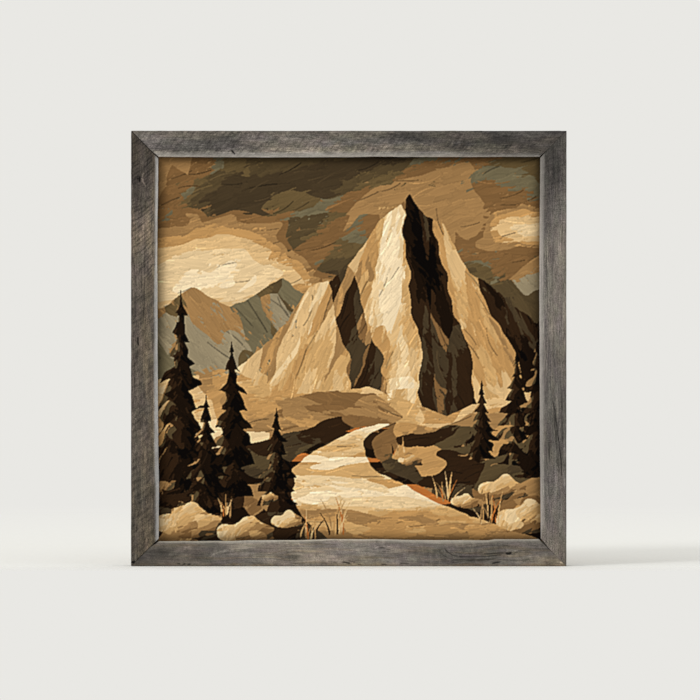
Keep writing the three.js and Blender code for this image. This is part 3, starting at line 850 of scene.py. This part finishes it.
# each conifer: middle, foot, height and half its width
CONIFERS = [
    (0.07, 0.13, 0.52, 0.085), (0.2, 0.12, 0.4, 0.075), (0.315, 0.08, 0.27, 0.06),
    (0.135, 0.08, 0.3, 0.06), (0.93, 0.2, 0.3, 0.06), (0.84, 0.22, 0.2, 0.045),
    (0.985, 0.17, 0.4, 0.07),
]


def draw_conifers(s):
    for middle, foot, high, half in CONIFERS:
        up = (s.wy - foot) / high
        tier = 1.12 - 0.62 * ((up * 8.5 + 0.8 * noise(s.x * 24, s.y * 4, 91)) % 1)
        spread = half * (1 - up) * tier * (0.62 + 0.85 * noise(s.x * 46, s.y * 46, 92))
        inside = (up > 0) & (up < 1) & (np.abs(s.x - middle) < spread)
        light = (middle - s.x) / np.maximum(spread, 1e-4) + 1.3 * (facet(s.x * 34, s.y * 34, 93) - 0.5)
        s.fill(inside, np.where(s.x < middle, -2.2, -0.9), light,
               "black", -0.4, "bark", 0.35, "umber", 0.8, "moss", 1.15, "bronze")


# Each coat of paint: spacing, length and width of its strokes in millimetres, the share of them laid, how
# far their colour may be from the drawing's, how far the paint below must be from it, and their tone. The
# last two are thin scratches and ridges.
COATS = [
    (22, 62, 27, 1, 130, 0, 1), (13, 40, 14, 0.6, 70, 0, 1), (8, 25, 7.5, 0.6, 55, 18, 1),
    (4.5, 13, 4, 0.9, 45, 28, 1), (20, 40, 1.5, 0.22, 50, 0, 0.72), (20, 40, 1.4, 0.25, 50, 0, 1.13),
]


def lay_coat(s, color, height, stroke, seed, pitch, long, wide, share, clip, need, tone):
    """Paint over the drawing with strokes of one size. A stroke takes the pigment under its middle, lies
    along the brush direction there, and stops where the drawing's tone changes. stroke is the place along
    and across the brush stroke that is on top, for its bristle marks."""
    # the strokes, one for each cell of a grid that goes a few cells past the print
    past = 2
    count = math.ceil(PRINT_MM / pitch) + 2 * past + 1
    cx, cy = (cell.ravel() for cell in np.meshgrid(np.arange(count) - past, np.arange(count) - past))
    draws = (lattice(cx, cy, seed + k) for k in range(9))
    off_x, off_y, turned, bowed, sized, order, chance, tinted, loaded = draws
    middle_x, middle_y = (cx + off_x) * pitch, (cy + off_y) * pitch
    col = np.clip(middle_x / PRINT_MM * (POINTS - 1), 0, POINTS - 1).astype(int)
    row = np.clip(middle_y / PRINT_MM * (POINTS - 1), 0, POINTS - 1).astype(int)
    pigment = s.color[row, col]
    angle = s.angle[row, col] + 0.5 * (turned - 0.5)
    cosine, sine = np.cos(angle), np.sin(angle)
    bend = 0.9 * (bowed - 0.5) / long
    size = 0.65 + 0.5 * sized
    left_out = chance > share
    if need:
        left_out |= np.abs(color[row, col] - pigment).sum(-1) < need
    rank = np.where(left_out, -2, order)
    hair = cx * 7.1 + cy * 3.3

    # each point takes the highest stroke that reaches it from the cells around its own
    px, py = (s.x * PRINT_MM).ravel(), (s.y * PRINT_MM).ravel()
    home = (np.floor(py / pitch).astype(int) + past) * count + np.floor(px / pitch).astype(int) + past
    drawing = s.color.reshape(-1, 3)
    below = height.ravel()
    top = np.full(px.shape, -1.0)
    new_color, new_stroke = color.reshape(-1, 3).copy(), stroke.reshape(-1, 3).copy()
    new_height = below.copy()
    around = range(-past, past + 1)
    for away in [step_y * count + step_x for step_x in around for step_y in around]:
        k = home + away
        at = np.nonzero(rank[k] > top)[0]
        k = k[at]
        dx, dy = px[at] - middle_x[k], py[at] - middle_y[k]
        along = dx * cosine[k] + dy * sine[k]
        across = dy * cosine[k] - dx * sine[k] + bend[k] * along**2
        near = (np.abs(along) < 0.6 * long * size[k]) & (np.abs(across) < 0.6 * wide * size[k])
        near &= np.abs(pigment[k] - drawing[at]).sum(-1) < clip
        at, k, along, across = at[near], k[near], along[near], across[near]
        end = 0.5 * long * size[k] * (0.82 + 0.32 * noise(across / 1.3, hair[k], seed + 15))
        side = 0.5 * wide * size[k] * (0.86 + 0.22 * noise(along / (0.35 * wide), hair[k] + 5, seed + 16))
        inner = np.minimum(end - np.abs(along), side - np.abs(across))
        bristle = noise(across / 1.5, along / 30 + hair[k], seed + 19)
        dry = (np.abs(along) > 0.3 * long * size[k]) & (bristle > 0.74)
        laid = (inner > 0) & ~dry
        at, k, inner, bristle, along, across = (v[laid] for v in (at, k, inner, bristle, along, across))
        rim = bell(inner, 0.8) * np.sign(across - 0.1 * along)
        shift = 1 + 0.07 * (tinted[k] - 0.5) + 0.06 * (bristle - 0.5) + 0.07 * rim
        shift += 0.1 * (loaded[k] - 0.5) * along / long
        thick = (0.1 + 0.1 * loaded[k]) * (0.75 + 0.02 * pitch)
        top[at] = rank[k]
        new_color[at] = pigment[k] * (tone * shift)[:, None]
        new_stroke[at] = np.stack([along, across, hair[k]], -1)
        new_height[at] = 0.55 * below[at] + thick * (1 + 0.9 * bell(inner - 0.6, 0.7)) + 0.07 * bristle
    return new_color.reshape(color.shape), new_height.reshape(height.shape), new_stroke.reshape(stroke.shape)


# each tuft of grass: middle, foot, height and how many blades
TUFTS = [
    (0.475, 0.03, 0.1, 14), (0.4, 0.01, 0.075, 10), (0.755, 0.115, 0.075, 12), (0.86, 0.055, 0.085, 12),
    (0.18, 0.075, 0.06, 9), (0.62, 0.235, 0.035, 8),
]


def lay_grass(s, color, height):
    """Thin blades of grass, drawn over the rest with the edge of the brush."""
    rng = np.random.default_rng(77)
    pigments = [PIGMENTS[name] for name in ("gold", "sand", "bronze", "tan", "rust", "bark")]
    half_width = 0.0021
    for middle, foot, high, count in TUFTS:
        for blade in range(count):
            root, lean = middle + rng.normal(0, 0.011), rng.normal(0, 0.36)
            tall = high * rng.uniform(0.5, 1.0) * (1 - 0.4 * abs(lean))
            rise = s.y - foot - rng.normal(0, 0.005)
            up = np.clip(rise / tall, 0, 1)
            off = np.abs(s.x - root - lean * tall * up**1.8)
            drawn = (rise > 0) & (up < 1) & (off < half_width * (1.25 - up) * step(-0.1, 0.2, up))
            color[drawn] = pigments[blade % len(pigments)]
            height[drawn] += 0.05


def painted_lip_shade(s):
    """Painted shade: the picture's colour is darkened towards the lip all round, like the lip's shade,
    reaching further than the lip's real shade does.
    """
    darkest, reach = 0.64, 6.3
    hidden = (FACE - (PRINT_LOW.x - cad_low.x)) / MM  # how much of the print is under the lip
    inward = np.minimum(np.minimum(s.x, 1 - s.x), np.minimum(s.y, 1 - s.y)) * PRINT_MM - hidden
    return 1 - darkest * np.exp(-((np.maximum(inward, 0) / reach) ** 1.3))


def blurred(color, times):
    for axis in (0, 1) * times:
        color = (np.roll(color, 1, axis) + 2 * color + np.roll(color, -1, axis)) / 4
    return color


def sharpened(color):
    """The colours run softly into each other, but with more contrast where they change, as pictures are
    sharpened before they are printed."""
    darkest, lightest = 4, 252
    strength = 1.7 * POINTS / FINE_POINTS
    soft = blurred(color, 1)
    return np.clip(soft + strength * (soft - blurred(soft, 3)), darkest, lightest)


def painted_landscape():
    """The colour, the height of the paint in millimetres and the place on its brush stroke of each point
    of the print, from its lower left corner."""
    s = Sketch()
    for draw in (draw_sky, draw_far_range, draw_peak, draw_foothills, draw_river, draw_near_bank,
                 draw_conifers, draw_boulders):
        draw(s)
    color, height = s.color.copy(), np.zeros(s.x.shape)
    stroke = np.stack([s.x * PRINT_MM, s.y * PRINT_MM, s.x * 0], -1)
    for number, coat in enumerate(COATS):
        color, height, stroke = lay_coat(s, color, height, stroke, 400 + 20 * number, *coat)
    lay_grass(s, color, height)
    # the print's colours, darkened towards the lip by painted shade
    return linear(sharpened(color)) * painted_lip_shade(s)[..., None], height, stroke


# ---- flat panels
def slab(name, xs, zs, face_y, flat_y, material):
    """A closed panel upright in the frame. face_y is how far back each point of its modelled face is, a
    row for each of zs, and its other face is flat at flat_y."""
    across, up = len(xs), len(zs)
    grid_x, grid_z = np.meshgrid(xs, zs)
    front = np.stack([grid_x, face_y, grid_z], -1).reshape(-1, 3)
    number = np.arange(across * up).reshape(up, across)
    rim = np.concatenate([number[0, :-1], number[:-1, -1], number[-1, :0:-1], number[:0:-1, 0]])
    back = front[rim].copy()
    back[:, 1] = flat_y
    behind = across * up + np.arange(len(rim))
    faces = np.stack([number[:-1, :-1], number[:-1, 1:], number[1:, 1:], number[1:, :-1]], -1).reshape(-1, 4)
    sides = np.stack([rim, behind, np.roll(behind, -1), np.roll(rim, -1)], -1)

    # on the sheet the face lies at the lower left, the sides in a strip beside it, the back in the corner
    face_size, strip, strip_long, corner, corner_size = 0.95, (0.97, 0.98), 0.9, 0.96, 0.03
    share_x = (grid_x.ravel() - xs[0]) / (xs[-1] - xs[0])
    share_z = (grid_z.ravel() - zs[0]) / (zs[-1] - zs[0])
    share = np.stack([share_x, share_z], -1)
    steps = np.arange(len(rim))
    side_v = strip_long * np.stack([steps, steps, steps + 1, steps + 1], -1) / len(rim)
    side_u = np.broadcast_to([strip[0], strip[1], strip[1], strip[0]], side_v.shape)
    places = np.concatenate([face_size * share[faces], np.stack([side_u, side_v], -1)])

    quads, cap = np.concatenate([faces, sides]), behind[::-1]
    cap_places = (corner + corner_size * share[rim])[::-1]
    if flat_y < face_y.mean():
        quads, places = quads[:, ::-1], places[:, ::-1]
        cap, cap_places = cap[::-1], cap_places[::-1]
    piece = mesh_object(name, np.concatenate([front, back]), quads, [cap], material)
    bake_map(piece, np.concatenate([places.reshape(-1, 2), cap_places]))
    shade(piece, 60)
    return piece


# ---- the print
PAINT_LEVEL = 0.35  # the height of paint that lies level with the solid print, in millimetres
PAINT_HIGHEST = 0.25  # and how far it may stand out of it
PAPER_EDGE = (214, 204, 186)


def print_material():
    """Matt ink on a gesso ground: the painted colours, the bristle marks along each stroke, a fine tooth
    and a slight sheen."""
    n = Nodes("printed_art")
    place = n.place()
    tooth = n.noise(place, 1300, 3, 0.6)
    patchy = n.noise(place, 30, 3, 0.5)
    bristle = n.noise(n.attribute("stroke").outputs["Vector"], (0.05, 1.1, 3.7), 3, 0.6)
    light = n.plus(n.vary(tooth, -0.035, 0.035), n.vary(bristle, 0.95, 1.05))
    n.bump(n.plus(n.times(tooth, 0.5), bristle), 0.12 * MM, 0.6)
    return n.finish(n.brighten(n.attribute("paint").outputs["Color"], light), n.vary(patchy, 0.5, 0.64), 0.02)


def build_print():
    """The print in four quarters that meet edge to edge, each one a closed mesh."""
    color, height, stroke = painted_landscape()
    xs = np.linspace(PRINT_LOW.x, PRINT_HIGH.x, POINTS)
    zs = np.linspace(PRINT_LOW.z, PRINT_HIGH.z, POINTS)
    face = PRINT_LOW.y - np.minimum(height - PAINT_LEVEL, PAINT_HIGHEST) * MM
    material = print_material()
    half = POINTS // 2
    halves = slice(0, half + 1), slice(half, POINTS)
    for rows, upright in zip(halves, ("lower", "upper")):
        for columns, hand in zip(halves, ("left", "right")):
            name = f"art_print_{upright}_{hand}"
            piece = slab(name, xs[columns], zs[rows], face[rows, columns], PRINT_HIGH.y, material)
            painted = color[rows, columns].reshape(-1, 3)
            ink = np.ones((len(piece.data.vertices), 4))
            ink[:, :3] = linear(PAPER_EDGE)
            ink[: len(painted), :3] = painted
            point_attribute(piece, "paint", "FLOAT_COLOR", ink)
            marks = np.zeros((len(ink), 3))
            marks[: len(painted)] = stroke[rows, columns].reshape(-1, 3)
            point_attribute(piece, "stroke", "FLOAT_VECTOR", marks)
            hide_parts("art_print")
            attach(piece, "root")


# ---- boards and metal at the back
def fibre_board(name, base, fleck, roughness, grime=None):
    """Pressed fibre board: short pale and dark fibres, faint blotches, scuffs and a dull surface. grime
    names the point attribute that tells where dust has settled, from 0 to 1."""
    n = Nodes(name)
    place = n.place()
    blotch = n.noise(place, 9, 4, 0.55)
    rolled = n.noise(place, (26, 1, 1.6), 3, 0.55)
    felt = n.noise(place, (420, 420, 189), 4, 0.7, 1.2)
    chip = n.noise(place, (230, 230, 161), 2, 0.5, 0.6)
    grit = n.noise(place, 1500, 2, 0.6)
    scuff = n.noise(place, (120, 1, 17), 2, 0.4, 0.5)
    scuffed = n.times(n.remap(scuff, 0.68, 0.78), n.remap(blotch, 0.45, 0.62), 0.4)
    color = n.mix(scuffed, n.mix(n.remap(felt, 0.55, 0.72), base, fleck), fleck)
    light = n.times(n.vary(blotch, 0.88, 1.09), n.vary(grit, 0.93, 1.06), n.vary(rolled, 0.95, 1.05))
    light = n.times(light, n.remap(felt, 0.25, 0.5, 0.88, 1.0), n.remap(chip, 0.22, 0.36, 0.72, 1.0))
    if grime:
        light = n.times(light, n.remap(n.attribute(grime).outputs["Fac"], 0, 1, 1.0, 0.62))
    n.bump(n.plus(felt, n.times(grit, 0.4)), 0.12 * MM, 0.5)
    return n.finish(n.brighten(color, light), n.vary(blotch, roughness - 0.06, roughness + 0.06), 0.3)


def plated_steel(name, color, tarnish, roughness):
    """Thin plated sheet: soft blotches of plating, fine draw lines, dull spots where it has tarnished."""
    n = Nodes(name)
    place = n.place()
    spangle = n.noise(place, 260, 3, 0.5, 0.8)
    dull = n.noise(place, 120, 4, 0.6)
    spots = n.noise(place, 700, 3, 0.6)
    lines = n.noise(place, (60, 900, 1900), 2, 0.5)
    skin = n.mix(n.remap(dull, 0.46, 0.68, 0, 0.85), color, tarnish)
    skin = n.mix(n.remap(spots, 0.6, 0.72, 0, 0.7), skin, tarnish)
    skin = n.brighten(skin, n.times(n.vary(spangle, 0.82, 1.12), n.vary(lines, 0.88, 1.08)))
    n.bump(n.plus(lines, n.times(dull, 0.9)), 0.06 * MM, 0.6)
    rough = n.plus(n.remap(dull, 0.4, 0.7, roughness, roughness + 0.22), n.vary(lines, -0.05, 0.05))
    return n.finish(skin, rough, 0.5, metallic=1.0)


def rubber():
    n = Nodes("dark_rubber")
    place = n.place()
    grain = n.noise(place, 1600, 3, 0.6)
    dust = n.noise(place, 240, 4, 0.6)
    n.bump(grain, 0.05 * MM, 0.5)
    color = n.mix(n.remap(dust, 0.5, 0.75, 0, 0.35), paint(44, 43, 42), paint(104, 100, 94))
    return n.finish(color, n.vary(grain, 0.6, 0.78), 0.35)


def finish_node(name, material, bevel=None):
    """Give one of the solids its finish and, where it has hard edges, a small round on them."""
    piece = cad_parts[name]
    piece.data.materials.clear()
    piece.data.materials.append(material)
    if bevel:
        rounded = piece.modifiers.new("rounded_edges", "BEVEL")
        rounded.width = bevel
        rounded.segments = 2
        rounded.limit_method = "ANGLE"
        rounded.angle_limit = math.radians(40)
        rounded.harden_normals = True


def build_backing():
    """The board that closes the back: its cut edges are softened and it isn't quite flat."""
    low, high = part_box("backing_board")
    count = 153  # points of its mesh along each side
    xs = np.linspace(low.x, high.x, count)
    zs = np.linspace(low.z, high.z, count)
    x, z = np.meshgrid(xs, zs)
    to_edge = np.minimum(np.minimum(x - low.x, high.x - x), np.minimum(z - low.z, high.z - z)) / MM
    uneven, edge_drop, edge_wide = 0.22, 0.5, 0.9  # in millimetres
    sunk = uneven * fractal(x / 0.09, z / 0.07, 701, 3) + edge_drop * np.exp(-to_edge / edge_wide)
    grime = np.exp(-to_edge / (7 + 22 * fractal(x / 0.06, z / 0.06, 702, 3)))
    grime = np.maximum(grime, 0.6 * step(0.6, 0.74, fractal(x / 0.11, z / 0.09, 703, 4)))
    wood = fibre_board("backing_board_fibre", paint(154, 123, 88), paint(182, 156, 121), 0.82, "grime")
    piece = slab("backing_panel", xs, zs, high.y - sunk * MM, low.y, wood)
    settled = np.zeros(len(piece.data.vertices))
    settled[: grime.size] = np.clip(grime, 0, 1).ravel()
    point_attribute(piece, "grime", "FLOAT", settled)
    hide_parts("backing_board")
    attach(piece, "root")


def build_fittings():
    board = fibre_board("art_board_fibre", paint(118, 84, 56), paint(146, 110, 78), 0.7)
    zinc = plated_steel("zinc_steel", paint(196, 198, 200), paint(132, 132, 130), 0.34)
    brass = plated_steel("brassed_steel", paint(206, 176, 112), paint(128, 100, 60), 0.3)
    nail_brass = plated_steel("worn_brass_nails", paint(150, 128, 84), paint(82, 64, 40), 0.42)
    finishes = {
        "art_board": (board, 0.3 * MM),
        "framers_point": (zinc, 0.1 * MM),
        "corner_wedge": (zinc, 0.1 * MM),
        "sawtooth_hanger": (brass, 0.25 * MM),
        "hanger_nail": (nail_brass, 0.12 * MM),
        "rear_bumper": (rubber(), None),
    }
    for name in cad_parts:
        for start, (material, bevel) in finishes.items():
            if name.startswith(start):
                finish_node(name, material, bevel)


# ---- stage, light and camera
PHOTO = 700  # the photograph's width and height, and below where the frame stands in it, in pixels
FRAME_WIDTH_PX = 435.5
FRAME_CENTRE_PX = (348.75, 348.5)
SENSOR = 36  # the width of the camera's sensor, in millimetres
CAMERA_AWAY = 6.0
BACKDROP = paint(233, 232, 228)
FLOOR = paint(236, 236, 233)  # so that the lit floor looks as bright as the backdrop


def build_camera():
    camera = bpy.data.objects.new("camera", bpy.data.cameras.new("camera"))
    bpy.context.scene.collection.objects.link(camera)
    px = SIDE / FRAME_WIDTH_PX  # what one pixel shows of the frame's face, in metres
    camera.data.sensor_width = SENSOR
    camera.data.lens = SENSOR * CAMERA_AWAY / (PHOTO * px)
    right = (PHOTO / 2 - FRAME_CENTRE_PX[0]) * px
    down = (PHOTO / 2 - FRAME_CENTRE_PX[1]) * px
    camera.location = (right, FRONT_Y - CAMERA_AWAY, HALF - down)
    camera.rotation_euler = (math.radians(90), 0, 0)
    bpy.context.scene.camera = camera


def sun(name, towards, spread, strength):
    """Light from far off, so that the floor is lit evenly. towards points at the light, spread is how
    many degrees of the sky it fills, and strength is what it adds to a white surface that faces it."""
    light = bpy.data.objects.new(name, bpy.data.lights.new(name, "SUN"))
    bpy.context.scene.collection.objects.link(light)
    light.data.angle = math.radians(spread)
    light.data.energy = strength * math.pi
    light.rotation_euler = Vector(towards).to_track_quat("Z", "Y").to_euler()


def build_light():
    """An even pale room, which gives most of the light, with a soft key from the upper left and a wider
    light from that side."""
    world = bpy.data.worlds.new("studio")
    bpy.context.scene.world = world
    world.use_nodes = True
    world.node_tree.nodes["Background"].inputs["Color"].default_value = BACKDROP
    sun("key", (-0.66, -0.6, 0.45), 16, 0.32)
    sun("side_light", (-0.78, -0.2, 0.6), 34, 0.12)
    bpy.context.scene.view_settings.view_transform = "Standard"
    bpy.context.scene.view_settings.look = "None"


def floor_material():
    """Pale paper that fades into the backdrop, soon in front of the frame and far off elsewhere."""
    n = Nodes("pale_floor")
    place = n.place()
    away = n.add("ShaderNodeVectorMath", {0: place}, operation="LENGTH").outputs["Value"]
    ahead = n.add("ShaderNodeSeparateXYZ", {"Vector": place}).outputs["Y"]
    fade = n.math("MAXIMUM", n.remap(away, 0.7, 2.4), n.remap(ahead, 1.2 * FRONT_Y, -0.16))
    clear = n.add("ShaderNodeBsdfTransparent").outputs["BSDF"]
    mixed = n.add("ShaderNodeMixShader", {"Fac": fade, 1: n.shader.outputs["BSDF"], 2: clear})
    n.put(n.tree.nodes["Material Output"].inputs["Surface"], mixed.outputs["Shader"])
    return n.finish(FLOOR, 1.0, 0.0)


def build_floor():
    radius, corners = 3, 96
    turns = np.linspace(0, 2 * math.pi, corners, endpoint=False)
    rim = np.stack([radius * np.cos(turns), radius * np.sin(turns), 0 * turns], -1)
    floor = mesh_object("floor", rim, np.zeros((0, 4)), [np.arange(corners)], floor_material())


# ---- build
build_camera()
build_light()
build_floor()
build_rails()
build_print()
build_backing()
build_fittings()
